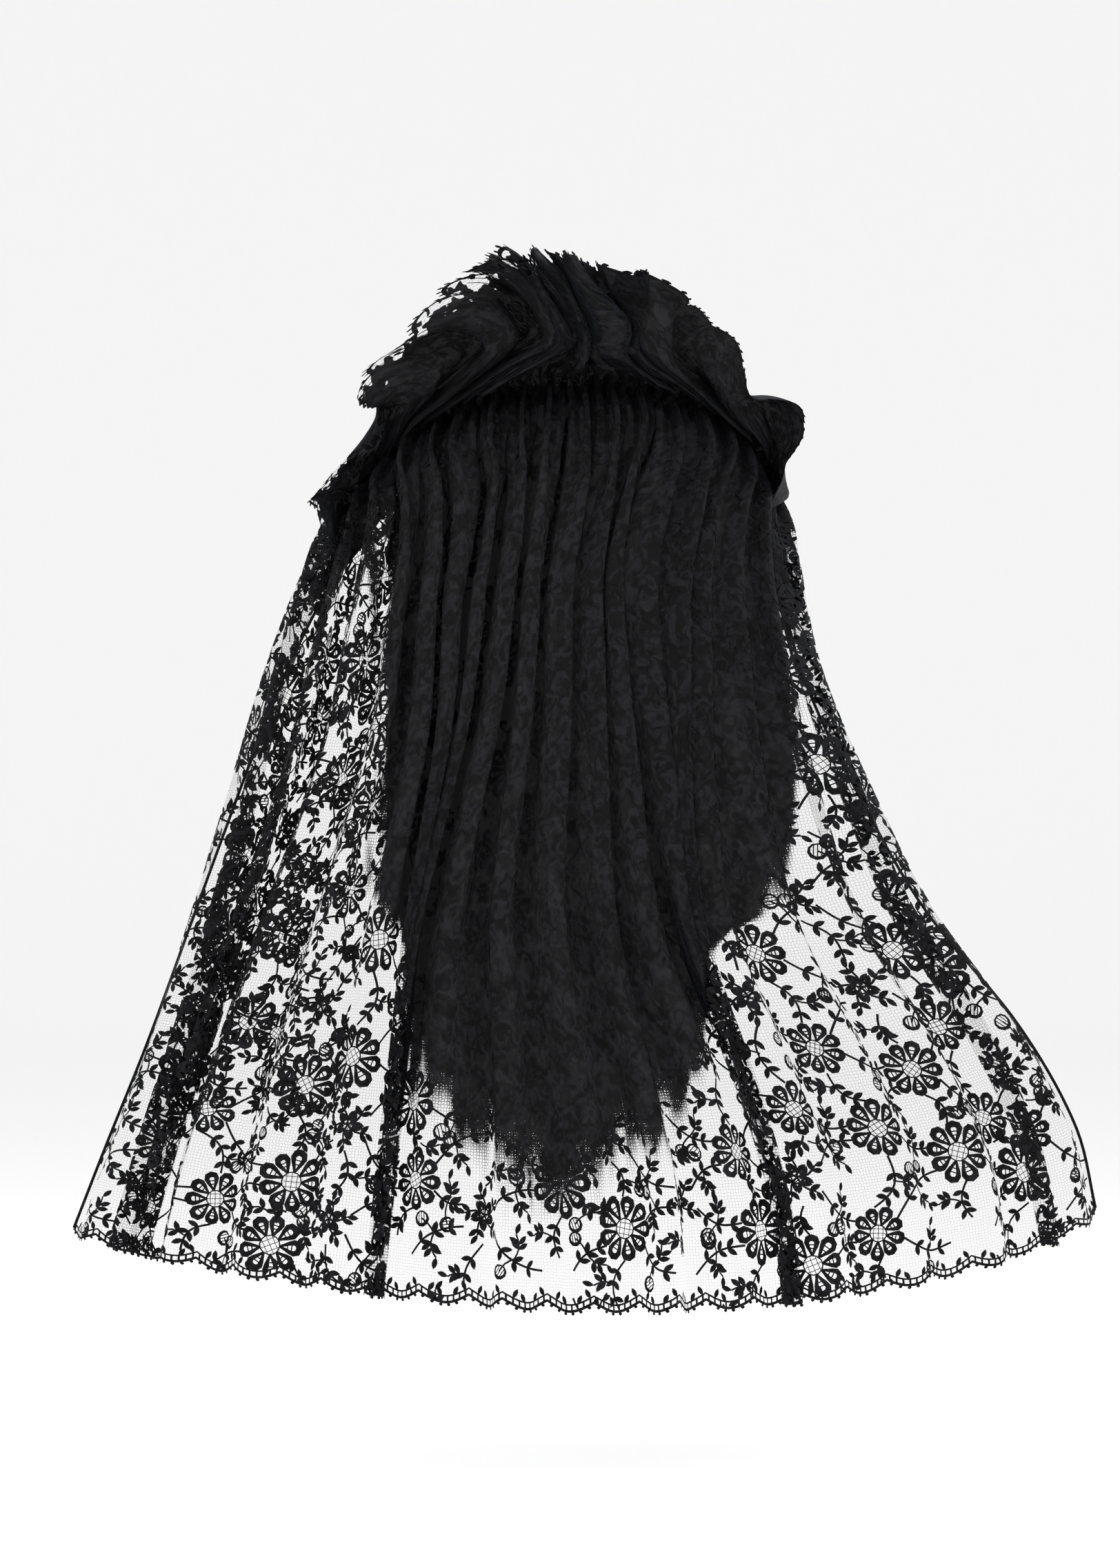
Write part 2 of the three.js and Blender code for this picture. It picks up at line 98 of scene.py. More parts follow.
# The frill from its left end to its right: its seat on the gathers, and how far its free edge stands
# out, up and away from the wearer, as shares of its sizes
FRILL = dict(
    across=[-1.0, -0.93, -0.86, -0.79, -0.73, -0.66, -0.59, -0.5, -0.41, -0.31, -0.19,
            -0.08, 0.04, 0.16, 0.28, 0.4, 0.52, 0.62, 0.72, 0.82, 0.91, 1.0],
    root=[-1.0, -0.95, -0.88, -0.8, -0.7, -0.58, -0.48, -0.37, -0.28, -0.19, -0.11,
          -0.04, 0.03, 0.1, 0.18, 0.28, 0.4, 0.52, 0.64, 0.76, 0.88, 1.0],
    out=[-0.9, -0.99, -1.06, -0.91, -0.81, -0.84, -0.85, -0.69, -0.54, -0.37, -0.19,
         -0.05, 0.07, 0.21, 0.33, 0.47, 0.6, 0.67, 0.81, 0.845, 0.785, 0.66],
    up=[-1.3, -1.08, -0.82, -0.57, -0.33, -0.07, 0.09, 0.41, 0.76, 0.97, 0.96,
        1.0, 0.91, 0.84, 0.75, 0.55, 0.29, 0.05, -0.12, -0.34, -0.62, -0.9],
    lean=[1.3, 1.25, 1.05, 0.75, 0.45, 0.15, 0.2, 0.25, 0.3, 0.2, 0.15,
          0.2, 0.25, 0.15, 0.25, 0.2, 0.25, 0.3, 0.35, 0.4, 0.5, 0.6],
)
# The frill's folds, told in the same way, with its free edge in place of the hem
FLUTES = [
    (0.07, 0.3, 0.12, 0.0, 1.0),
    (0.075, 0.4, 0.2, -0.2, 1.0),
    (0.08, 0.8, 0.5, 0.3, 1.0),
    (0.08, 1.0, 0.9, -0.2, 1.0),
    (0.085, 1.0, 1.4, 0.4, 1.0),
    (0.075, 1.0, 1.0, -0.3, 1.0),
    (0.08, 1.0, 1.3, 0.2, 1.0),
    (0.075, 1.0, 1.1, -0.4, 1.0),
    (0.08, 1.0, 1.4, 0.3, 1.0),
    (0.08, 1.0, 1.0, -0.3, 1.0),
    (0.08, 0.9, 0.6, 0.3, 1.0),
    (0.075, 0.5, 0.3, -0.2, 1.0),
    (0.065, 0.3, 0.15, 0.0, 1.0),
]

FALL_PLEATS = 3  # fine pleats in each fold, where the cloth is gathered
FRILL_PLEATS = 4
MOST_TURN = 1.8  # radians that the cloth turns at most in a fold
FLANK = 0.62  # folds past this share of the way out are a flank's

# The meshes' fineness
CLOTH_COLUMNS = 560
FALL_ROWS = 64
RUFFLE_ROWS = 20
SMOOTH_STEPS = 200

# The lace: the spacing of its flowers, their radius and their petals
FALL_FLOWERS = dict(pitch=40.0, radius=12.4, petals=9)
FRILL_FLOWERS = dict(pitch=19.0, radius=6.2, petals=6)
DOUBLED_FLOWERS = dict(pitch=36.0, radius=11.0, petals=9)
LIFT = 0.3  # how far the lace stands off the net
DOUBLED_LIFT = -0.5
DOUBLED_START = 60.0  # where along the cloth the lace of the left flank begins to lie double
DOUBLED_WIDTH = 150.0
DOUBLED_TOP = 45.0
DOUBLED_BOTTOM = 300.0
HEM_MARGIN = 4.0  # the flowers stop this far above the hem, and below the frill's free edge
SCALLOPS = 38
SCALLOP_PITCH = CLOTH_WIDTH / SCALLOPS
PICOT = 1.4  # how far the small knots along the free edges stand out
PICOTS = 6 * SCALLOPS
SIDE_CORD = 1.3  # diameter

FOLD_SOFTNESS = 0.55  # the share of the light's view of a fold that comes from the folds around it
LEAST_AGREEMENT = 0.35  # a cosine: past this angle from the mesh's own normal, its own is kept


def from_table(table, key, name, at):
    """A value from a table at key = at, on a smooth curve through its rows."""
    x = np.asarray(table[key], float)
    y = np.asarray(table[name], float)
    at = np.asarray(at, float)
    slope = np.zeros_like(y)
    slope[1:-1] = (y[2:] - y[:-2]) / (x[2:] - x[:-2])
    slope[0] = (y[1] - y[0]) / (x[1] - x[0])
    slope[-1] = (y[-1] - y[-2]) / (x[-1] - x[-2])
    i = np.clip(np.searchsorted(x, at) - 1, 0, len(x) - 2)
    span = x[i + 1] - x[i]
    s = np.clip((at - x[i]) / span, 0, 1)
    s2, s3 = s * s, s * s * s
    return (
        (2 * s3 - 3 * s2 + 1) * y[i]
        + (s3 - 2 * s2 + s) * span * slope[i]
        + (3 * s2 - 2 * s3) * y[i + 1]
        + (s3 - s2) * span * slope[i + 1]
    )


def smoothstep(x, low, high):
    s = np.clip((x - low) / (high - low), 0, 1)
    return s * s * (3 - 2 * s)


def line_height(line, across):
    """The height of the gathers or the hem, from the middle out to either side."""
    side = np.where(across < 0, line["left"], line["right"])
    power = np.where(across < 0, line["left_power"], line["right_power"])
    return side * FALL_DROP * np.abs(across) ** power


def fall_point(across, down):
    """Points of the smooth surface under the folds, in millimetres."""
    across = np.asarray(across, float)

    def section(name):
        return from_table(FALL_SECTIONS, "down", name, down)

    wrap = np.radians(section("wrap"))
    turn = np.abs(across) * wrap
    half = np.where(across < 0, -section("left"), section("right")) * HEM_HALF_WIDTH
    back = -section("back") * BACK_DEPTH
    edge = np.where(across < 0, section("edge_left"), section("edge_right")) * SIDE_REACH
    top = line_height(GATHER_LINE, across)
    bottom = -FALL_DROP + line_height(HEM_LINE, across)
    return np.stack(
        [
            half * np.sin(turn) / np.sin(wrap),
            back + (edge - back) * (1 - np.cos(turn)) / (1 - np.cos(wrap)),
            top + (bottom - top) * down,
        ],
        -1,
    )


def frill_point(across, down):
    """Points of the smooth surface under the frill. down runs from the free edge to the gathers."""
    across = np.asarray(across, float)

    def edge_at(name):
        return from_table(FRILL, "across", name, across)

    seat = fall_point(edge_at("root"), 0.0)
    away = seat - np.array([0, SIDE_REACH, -1.3 * SIDE_REACH])
    away /= np.linalg.norm(away, axis=-1, keepdims=True)
    root = seat + np.array([0, 0, SEAM_GAP / 2])
    middle = root + away * FRILL_RISE
    edge = np.stack(
        [
            edge_at("out") * RUFFLE_HALF_SPAN,
            seat[..., 1] - edge_at("lean") * RUFFLE_LEAN,
            edge_at("up") * RUFFLE_HEIGHT,
        ],
        -1,
    )
    out = 1 - down
    return root * down * down + middle * 2 * down * out + edge * out * out


def outward(surface, across, down):
    """A smooth surface's direction away from the wearer."""
    step = 0.01
    west, east = np.maximum(across - step, -1), np.minimum(across + step, 1)
    over, under = max(down - step, 0), min(down + step, 1)
    sideways = surface(east, down) - surface(west, down)
    downwards = surface(across, under) - surface(across, over)
    normal = np.cross(downwards, sideways)
    return normal / np.linalg.norm(normal, axis=-1, keepdims=True)


def folded_row(surface, down, folds, pleats, gathered, fine, sway, lean, loose=0.0):
    """One row of the folded cloth, at its full width.

    gathered blends each fold's two strengths. fine is the share of the fine pleats, and pleats is
    their number in each fold. sway moves the folds a little to one side, lean lays them over, and
    loose eases those of the flanks. The turns are scaled until the width fits the row. On the bent
    surface it then measures within 3% of that.
    """
    smooth = np.linspace(-1, 1, SMOOTH_STEPS + 1)
    points = surface(smooth, down)
    lengths = np.concatenate([[0], np.cumsum(np.linalg.norm(np.diff(points, axis=0), axis=1))])
    base = lengths[-1]
    u = (np.arange(CLOTH_COLUMNS) + 0.5) / CLOTH_COLUMNS
    widths = np.array([fold[0] for fold in folds])
    widths = widths / widths.sum()
    starts = np.concatenate([[0], np.cumsum(widths)])
    i = np.clip(np.searchsorted(starts, u, side="right") - 1, 0, len(folds) - 1)
    share = (u - starts[i]) / widths[i]
    table = np.array(folds)
    strength = table[i, 2] + (table[i, 1] - table[i, 2]) * gathered
    strength = strength * (1 - loose * (np.abs(2 * i / (len(folds) - 1) - 1) > FLANK))
    tip = table[i, 3]
    pleated = table[i, 4] + (1 - table[i, 4]) * gathered**2
    large = np.sin(2 * np.pi * share) + tip * np.sin(np.pi * share) ** 2
    small = np.sin(2 * np.pi * pleats * share + 1.1 * np.sin(2.3 * i))
    step = CLOTH_WIDTH / CLOTH_COLUMNS

    def angles(bend):
        turn = bend * (strength * large * (1 - fine) + pleated * small * fine)
        return np.clip(turn, -MOST_TURN, MOST_TURN)

    low, high = 0.0, 6.0
    for _ in range(34):
        middle = (low + high) / 2
        if (step * np.cos(angles(middle))).sum() > base:
            low = middle
        else:
            high = middle
    angle = angles(low)
    along = np.concatenate([[0], np.cumsum(step * np.cos(angle))])
    out = np.concatenate([[0], np.cumsum(step * np.sin(angle))])
    edges = np.arange(CLOTH_COLUMNS + 1) / CLOTH_COLUMNS
    out = out - np.interp(edges, starts, np.interp(starts, edges, out))
    place = np.interp(along * base / along[-1], lengths, smooth)
    place = np.clip(place + sway * (1 - place**2), -1, 1)
    west, east = np.maximum(place - 0.01, -1), np.minimum(place + 0.01, 1)
    sideways = surface(east, down) - surface(west, down)
    sideways /= np.linalg.norm(sideways, axis=1, keepdims=True)
    way = outward(surface, place, min(down, 1.0)) * math.cos(lean) + sideways * math.sin(lean)
    return surface(place, down) + way * out[:, None]


def fall_grid():
    """The fall's grid of points, row by row, and how far down the cloth each row is."""
    start = SEAM_GAP / 2 / FALL_DROP
    downs = start + (1 + SCALLOP_DEPTH / FALL_DROP - start) * np.linspace(0, 1, FALL_ROWS + 1)
    rows = []
    for down in downs:
        gathered = 1 - smoothstep(down, 0.15, 0.95)
        fine = 0.6 * max(1 - down / 0.24, 0.0) ** 1.4
        fine = fine + 0.07 * (1 - smoothstep(down, 0.2, 0.9)) + 0.05
        sway = 0.012 * math.sin(7.0 * down) * down
        lean = 0.6 * (1 - smoothstep(down, 0.25, 0.9)) * smoothstep(down, -0.05, 0.2)
        loose = 0.1 * smoothstep(down, 0.12, 0.4) * (1 - smoothstep(down, 0.6, 0.95))
        rows.append(folded_row(fall_point, down, FOLDS, FALL_PLEATS, gathered, fine, sway, lean, loose))
    return np.array(rows), downs * FALL_DROP


def frill_grid():
    """The frill's grid of points, from its free edge to the gathers, and how far down each row is.

    The rows keep the cloth's width. Down it the cloth isn't kept: the columns measure 27 to 138
    millimetres where FRILL_LENGTH is 76, and the area comes out within 5%.
    """
    downs = np.linspace(0, 1, RUFFLE_ROWS + 1)
    rows = []
    for down in downs:
        fine = 0.03 + 0.79 * smoothstep(down, 0.35, 0.95)
        lean = 0.2 * math.sin(math.pi * down)
        rows.append(folded_row(frill_point, down, FLUTES, FRILL_PLEATS, down, fine, 0.0, lean))
    return np.array(rows), downs * FRILL_LENGTH


def unit(vectors):
    return vectors / np.maximum(np.linalg.norm(vectors, axis=-1, keepdims=True), 1e-9)


class Cloth:
    """A folded sheet: its grid of points, and the way from the flat lace, in millimetres, to it."""

    def __init__(self, grid, downs):
        self.grid = grid
        self.downs = downs
        east = np.gradient(grid, axis=1)
        south = np.gradient(grid, axis=0)
        self.normal = unit(np.cross(south, east))
        self.shade = self.softened()

    def softened(self):
        """The normals that the light sees: lace passes light on, so its folds stand out little."""
        reach = CLOTH_COLUMNS // 36
        span = 2 * reach + 1
        padded = np.pad(self.normal, ((0, 0), (reach + 1, reach), (0, 0)), mode="edge")
        summed = np.cumsum(padded, axis=1)
        around = unit(summed[:, span:] - summed[:, :-span])
        return unit(around * FOLD_SOFTNESS + self.normal * (1 - FOLD_SOFTNESS))

    def mixed(self, values, u, v):
        """Values held at the grid's points, mixed at u along the cloth and v down it."""
        x = np.clip(u / CLOTH_WIDTH, 0, 1) * CLOTH_COLUMNS
        y = np.interp(v, self.downs, np.arange(len(self.downs)))
        i = np.clip(np.floor(x).astype(int), 0, CLOTH_COLUMNS - 1)
        j = np.clip(np.floor(y).astype(int), 0, len(self.downs) - 2)
        a, b = (x - i)[..., None], (y - j)[..., None]
        return (
            values[j, i] * (1 - a) * (1 - b)
            + values[j, i + 1] * a * (1 - b)
            + values[j + 1, i] * (1 - a) * b
            + values[j + 1, i + 1] * a * b
        )

    def place(self, u, v, lift=0.0):
        """Points of the cloth, lift millimetres off it."""
        return self.mixed(self.grid, u, v) + self.mixed(self.normal, u, v) * lift


def mesh_object(name, verts, faces, uvs=None):
    """A smooth mesh from points in millimetres, with its place on the flat cloth as its UV map."""
    mesh = bpy.data.meshes.new(name)
    mesh.from_pydata([tuple(v) for v in np.asarray(verts) * MM], [], [tuple(f) for f in faces])
    if uvs is not None:
        layer = mesh.uv_layers.new(name="cloth")
        loops = np.array([loop.vertex_index for loop in mesh.loops])
        layer.data.foreach_set("uv", np.asarray(uvs)[loops].astype(np.float32).ravel())
    mesh.polygons.foreach_set("use_smooth", [True] * len(mesh.polygons))
    mesh.update()
    obj = bpy.data.objects.new(name, mesh)
    bpy.context.scene.collection.objects.link(obj)
    return obj


def scallop(u):
    """How far a scalloped edge stands out at u millimetres along the cloth."""
    return SCALLOP_DEPTH * np.abs(np.sin(np.pi * np.asarray(u, float) / SCALLOP_PITCH))


def net_sheet(name, cloth, low, high):
    """The net ground, from low to high down the cloth. Each is a function of the place along it."""
    us = np.linspace(0, CLOTH_WIDTH, CLOTH_COLUMNS + 1)
    steps = len(cloth.downs) - 1
    verts, uvs, shade = [], [], []
    for j in range(steps + 1):
        v = low(us) + (high(us) - low(us)) * j / steps
        verts.append(cloth.place(us, v))
        shade.append(cloth.mixed(cloth.shade, us, v))
        uvs.append(np.stack([us, v], -1) * MM)
    n = CLOTH_COLUMNS + 1
    faces = []
    for j in range(steps):
        for i in range(CLOTH_COLUMNS):
            a = j * n + i
            faces.append((a, a + n, a + n + 1, a + 1))
    obj = mesh_object(name, np.concatenate(verts), faces, np.concatenate(uvs))
    shade_like(obj, np.concatenate(shade))
    return obj


def shade_like(obj, normals):
    """Shades a mesh with these normals, and with its own where the two turn apart."""
    own = np.empty(len(normals) * 3, np.float32)
    obj.data.vertex_normals.foreach_get("vector", own)
    own = own.reshape(-1, 3)
    agree = (normals * own).sum(axis=1) > LEAST_AGREEMENT
    kept = np.where(agree[:, None], normals, own)
    obj.data.normals_split_custom_set_from_vertices([tuple(n) for n in kept])


rng = np.random.default_rng(7)


class Lace:
    """Collects the pattern's strokes and filled leaves, laid flat in millimetres."""

    def __init__(self):
        self.verts = []
        self.faces = []
        self.count = 0
        self.border_start = None  # the strokes from here on are kept whole, past the cloth's edge too

    def stroke(self, points, width, closed=False):
        """A flat band along the points. width is one number, or one for each point."""
        p = np.asarray(points, float)
        if closed:
            before, after = np.roll(p, 1, 0), np.roll(p, -1, 0)
        else:
            before = np.vstack([p[:1], p[:-1]])
            after = np.vstack([p[1:], p[-1:]])
        t = after - before
        t /= np.maximum(np.linalg.norm(t, axis=1, keepdims=True), 1e-9)
        side = np.stack([-t[:, 1], t[:, 0]], -1) * (np.broadcast_to(width, len(p))[:, None] / 2)
        self.verts += [np.stack([p - side, p + side], 1).reshape(-1, 2)]
        n = len(p)
        for k in range(n if closed else n - 1):
            a, b = self.count + 2 * k, self.count + 2 * ((k + 1) % n)
            self.faces.append((a, a + 1, b + 1, b))
        self.count += 2 * n

    def leaf(self, base, angle, length, width):
        """A filled pointed leaf."""
        s = np.linspace(0, 1, 5)
        w = width / 2 * np.sin(np.pi * s) ** 0.8 + 0.12
        direction = np.array([math.cos(angle), math.sin(angle)])
        middle = np.asarray(base) + s[:, None] * length * direction
        self.stroke(middle, 2 * w)


def flower(lace, centre, radius, turn, petals):
    """An open flower of outlined petals about a netted eye."""
    cx, cy = centre
    eye = radius * 0.34
    for k in range(petals):
        a = turn + 2 * math.pi * k / petals
        length = radius * (0.93 + 0.14 * rng.random())
        half = math.pi / petals * 0.86
        s = np.linspace(0, 2 * np.pi, 13)[:-1]
        along = eye + (length - eye) * (0.5 - 0.5 * np.cos(s))
        wide = np.sin(s) * (0.35 + 0.65 * (along - eye) / (length - eye)) * half
        angles = a + wide * 1.05
        loop = np.stack([cx + along * np.cos(angles), cy + along * np.sin(angles)], -1)
        weight = radius * (0.085 + 0.16 * ((along - eye) / (length - eye)) ** 1.3)
        lace.stroke(loop, weight, closed=True)
        for q in (0.4, 0.62):
            r = eye + (length - eye) * q
            spread = half * (0.35 + 0.65 * q) * 0.85
            bar = [(cx + r * math.cos(a + t), cy + r * math.sin(a + t)) for t in (-spread, spread)]
            lace.stroke(bar, 0.55)
    ring = np.linspace(0, 2 * np.pi, 13)[:-1]
    lace.stroke(np.stack([cx + eye * np.cos(ring), cy + eye * np.sin(ring)], -1), 0.6, closed=True)
    for k in range(-1, 2):
        for b in (turn, turn + math.pi / 2):
            off = k * eye * 0.55
            reach = math.sqrt(max(eye * eye - off * off, 0))
            d = np.array([math.cos(b), math.sin(b)])
            n = np.array([-d[1], d[0]])
            mid = np.array(centre) + n * off
            lace.stroke([mid - d * reach, mid + d * reach], 0.3)


def bud(lace, centre, radius, turn):
    """A ring with three bars across it."""
    cx, cy = centre
    s = np.linspace(0, 2 * np.pi, 11)[:-1]
    weight = 1.2 + 0.5 * np.cos(s - turn)
    lace.stroke(np.stack([cx + radius * np.cos(s), cy + radius * np.sin(s)], -1), weight, closed=True)
    d = np.array([math.cos(turn), math.sin(turn)])
    n = np.array([-d[1], d[0]])
    for off in (-0.45, 0.0, 0.45):
        reach = radius * math.sqrt(1 - off * off)
        mid = np.array(centre) + n * off * radius
        lace.stroke([mid - d * reach, mid + d * reach], 0.45)


def stem(lace, start, end, bow, leaves, leaf_length, width=0.75):
    """A curved stem with leaves in pairs along it."""
    start, end = np.asarray(start, float), np.asarray(end, float)
    d = end - start
    length = np.linalg.norm(d)
    steps = max(int(math.ceil(length / 2.4)), 4)
    t = np.linspace(0, 1, steps + 1)
    n = np.array([-d[1], d[0]]) / max(length, 1e-6)
    curve = start + t[:, None] * d + n * (bow * length * np.sin(np.pi * t))[:, None]
    lace.stroke(curve, width)
    for k in range(leaves):
        q = (k + 1) / (leaves + 1)
        j = int(round(q * steps))
        base = curve[j]
        tangent = curve[min(j + 1, steps)] - curve[max(j - 1, 0)]
        a = math.atan2(tangent[1], tangent[0])
        for sign in (-1, 1):
            lace.leaf(base, a + sign * 0.85, leaf_length, leaf_length * 0.44)


def sprig(lace, place, angle, length, leaves, leaf_length, width):
    """A small bowed spray of leaves that ends in one leaf."""
    end = np.asarray(place) + length * np.array([math.cos(angle), math.sin(angle)])
    stem(lace, place, end, 0.16, leaves, leaf_length, width)
    lace.leaf(end, angle + 0.3, leaf_length, leaf_length * 0.42)


def floral(lace, width, top, bottom, pitch, radius, petals):
    """An all-over floral pattern in a loose half-drop repeat, with sprays of leaves between flowers."""
    leaf = 1.8 + 0.08 * pitch
    weight = 0.5 + 0.012 * pitch
    columns = int(round(width / pitch))
    pitch_x = width / columns
    rows = int(round((bottom - top) / pitch)) + 1
    spots = {}
    for c in range(columns + 1):
        for r in range(-1, rows + 1):
            x = c * pitch_x
            y = top + (r + 0.5 * (c % 2)) * pitch
            x += (rng.random() - 0.5) * 0.42 * pitch
            y += (rng.random() - 0.5) * 0.42 * pitch
            spots[c, r] = (x, y, radius * (0.8 + 0.3 * rng.random()), rng.random() < 0.28)
    for (c, r), (x, y, size, bare) in spots.items():
        if y < top - radius or y > bottom + radius:
            continue
        turn = rng.random() * 6.28
        if bare:
            for k in range(5):
                sprig(lace, (x, y), turn + 1.26 * k, size * 0.8, 2, leaf, weight)
            bud(lace, (x, y), leaf * 0.55, turn)
        elif size * 0.4 < x < width - size * 0.4 and top + size * 0.5 < y < bottom - size * 0.7:
            flower(lace, (x, y), size, turn, petals)
        drop = 0 if c % 2 else -1
        for target, bow in (((c + 1, r + drop + 1), 0.16), ((c + 1, r + drop), -0.14)):
            if target not in spots:
                continue
            tx, ty, other, _ = spots[target]
            d = np.array([tx - x, ty - y])
            length = np.linalg.norm(d)
            if length > 1.7 * pitch:
                continue
            d /= length
            a = np.array([x, y]) + d * size * 0.95
            b = np.array([tx, ty]) - d * other * 0.95
            stem(lace, a, b, bow, 3, leaf, weight)
            sign = 1 if bow > 0 else -1
            n = np.array([-d[1], d[0]]) * sign
            middle = (a + b) / 2 + n * abs(bow) * length * 0.5
            side = middle + n * pitch * 0.2 + d * pitch * (rng.random() - 0.5) * 0.2
            bud(lace, side, leaf * (0.5 + 0.2 * rng.random()), rng.random() * 3.14)
            stem(lace, middle, side, 0.1, 0, 0, weight * 0.8)
            angle = math.atan2(-n[1], -n[0]) + (rng.random() - 0.5)
            sprig(lace, middle, angle, pitch * 0.26, 2, leaf, weight * 0.8)
        below = spots.get((c, r + 1))
        if below is not None:
            a = np.array([x, y + size * 1.05])
            b = np.array([below[0], below[1] - below[2] * 1.05])
            sign = 1 if (c + r) % 2 else -1
            stem(lace, a, b, 0.22 * sign, 3, leaf, weight)
            middle = (a + b) / 2 + np.array([-pitch * 0.12 * sign, 0])
            sprig(lace, middle, math.pi if sign > 0 else 0.0, pitch * 0.24, 2, leaf, weight * 0.8)


def border(lace, width, edge, inward, cords):
    """A narrow border along an edge: one cord with picots, or two with bars and leaves as well.

    inward is 1 where the cloth lies at smaller v and -1 where it lies at larger v. cords is true
    where there are two.
    """
    lace.border_start = lace.count
    us = np.linspace(0, width, SCALLOPS * 12 + 1)
    v = edge(us)
    for k in range(PICOTS):
        u = (k + 0.5) * width / PICOTS
        start = float(edge(np.array(u))) - inward * 0.2
        lace.leaf((u, start), inward * math.pi / 2, PICOT + 0.1, 1.5)
    lace.stroke(np.stack([us, v - inward * 0.5], -1), 1.2)
    if not cords:
        return
    lace.stroke(np.stack([us, v - inward * 3.2], -1), 0.8)
    bars = SCALLOPS * 8
    for k in range(bars):
        u = (k + 0.5) * width / bars
        end = float(edge(np.array(u)))
        lace.stroke([(u, end - inward * 0.4), (u, end - inward * 3.2)], 0.9)
        if k % 2:
            angle = -inward * math.pi / 2 + 0.5 * (-1) ** (k // 2)
            lace.leaf((u, end - inward * 3.2), angle, 4.2, 1.9)


def lay(name, lace, cloth, v_low, v_high, lift):
    """Lays the flat pattern on the folded cloth. Faces that leave the cloth are dropped."""
    flat = np.concatenate(lace.verts)
    low, high = v_low(flat[:, 0]), v_high(flat[:, 0])
    inside = (
        (flat[:, 0] >= -0.4)
        & (flat[:, 0] <= CLOTH_WIDTH + 0.4)
        & (flat[:, 1] >= low - 0.6)
        & (flat[:, 1] <= high + 0.6)
    )
    if lace.border_start is not None:
        inside[lace.border_start :] = True
    faces = [f for f in lace.faces if all(inside[i] for i in f)]
    used = sorted({i for f in faces for i in f})
    index = {old: new for new, old in enumerate(used)}
    flat = flat[used]
    faces = [tuple(index[i] for i in f) for f in faces]
    verts = cloth.place(flat[:, 0], flat[:, 1], lift)
    obj = mesh_object(name, verts, faces, flat * MM)
    column = np.rint(np.clip(flat[:, 0] / CLOTH_WIDTH, 0, 1) * CLOTH_COLUMNS).astype(int)
    row = np.rint(np.interp(flat[:, 1], cloth.downs, np.arange(len(cloth.downs)))).astype(int)
    shade_like(obj, cloth.shade[row, column])
    return obj


def cord_object(name, points, diameter, material, sides=8):
    """A round cord through a list of points, in millimetres."""
    p = np.asarray(points, float)
    t = np.gradient(p, axis=0)
    t /= np.linalg.norm(t, axis=1, keepdims=True)
    a = np.cross(np.array([0.0, 1.0, 0.0]), t)
    a /= np.linalg.norm(a, axis=1, keepdims=True)
    b = np.cross(t, a)
    turn = np.linspace(0, 2 * np.pi, sides, endpoint=False)
    ring = (
        p[:, None]
        + a[:, None] * (np.cos(turn) * diameter / 2)[None, :, None]
        + b[:, None] * (np.sin(turn) * diameter / 2)[None, :, None]
    )
    verts = ring.reshape(-1, 3)
    length = np.concatenate([[0], np.cumsum(np.linalg.norm(np.diff(p, axis=0), axis=1))])
    uvs = np.stack(np.broadcast_arrays(length[:, None], turn[None] * diameter / 2), -1).reshape(-1, 2)
    faces = []
    for i in range(len(p) - 1):
        for k in range(sides):
            n = (k + 1) % sides
            faces.append((i * sides + k, i * sides + n, (i + 1) * sides + n, (i + 1) * sides + k))
    faces.append(tuple(range(sides))[::-1])
    faces.append(tuple((len(p) - 1) * sides + k for k in range(sides)))
    obj = mesh_object(name, verts, faces, uvs * MM)
    obj.data.materials.append(material)
    return obj


def node_material(name):
    """A new material, its nodes and its shader."""
    material = bpy.data.materials.new(name)
    material.use_nodes = True
    tree = material.node_tree
    shader = tree.nodes["Principled BSDF"]
    return material, tree, shader


def mottled(tree, uv, dark, light):
    """Cloth colour in random soft spots, their lighter colour tinted cool as a painted sheen, and the
    spots themselves.
    """
    drawn = tree.nodes.new("ShaderNodeMapping")
    drawn.inputs["Scale"].default_value = (1.0, 0.7, 1.0)
    tree.links.new(uv, drawn.inputs["Vector"])
    noise = tree.nodes.new("ShaderNodeTexNoise")
    noise.inputs["Scale"].default_value = 230.0
    noise.inputs["Detail"].default_value = 3.0
    noise.inputs["Distortion"].default_value = 1.5
    tree.links.new(drawn.outputs["Vector"], noise.inputs["Vector"])
    spots = ramp_between(tree, noise.outputs["Fac"], 0.42, 0.64)
    mix = tree.nodes.new("ShaderNodeMix")
    mix.data_type = "RGBA"
    mix.inputs["A"].default_value = (*dark, 1)
    mix.inputs["B"].default_value = (*light, 1)
    tree.links.new(spots, mix.inputs["Factor"])
    return mix.outputs["Result"], spots


def thread_material(name, dark, light, roughness, twist):
    """Black thread in random soft spots of darker and lighter tone, the lighter tinted cool as a painted
    sheen, with a soft sheen. twist is its bump's strength.
    """
    material, tree, shader = node_material(name)
    nodes, links = tree.nodes, tree.links
    uv = nodes.new("ShaderNodeUVMap")
    uv.uv_map = "cloth"
    colour, spots = mottled(tree, uv.outputs["UV"], dark, light)
    links.new(colour, shader.inputs["Base Color"])
    rough = steady_between(tree, spots, 0.0, 1.0, roughness + 0.06, roughness - 0.04)
    links.new(rough, shader.inputs["Roughness"])
    if twist > 0:
        wave = nodes.new("ShaderNodeTexWave")
        wave.inputs["Scale"].default_value = 700.0
        wave.inputs["Distortion"].default_value = 1.5
        links.new(uv.outputs["UV"], wave.inputs["Vector"])
        bump = nodes.new("ShaderNodeBump")
        bump.inputs["Strength"].default_value = twist
        bump.inputs["Distance"].default_value = 0.0003
        links.new(wave.outputs["Fac"], bump.inputs["Height"])
        links.new(bump.outputs["Normal"], shader.inputs["Normal"])
    soften(shader)
    return material


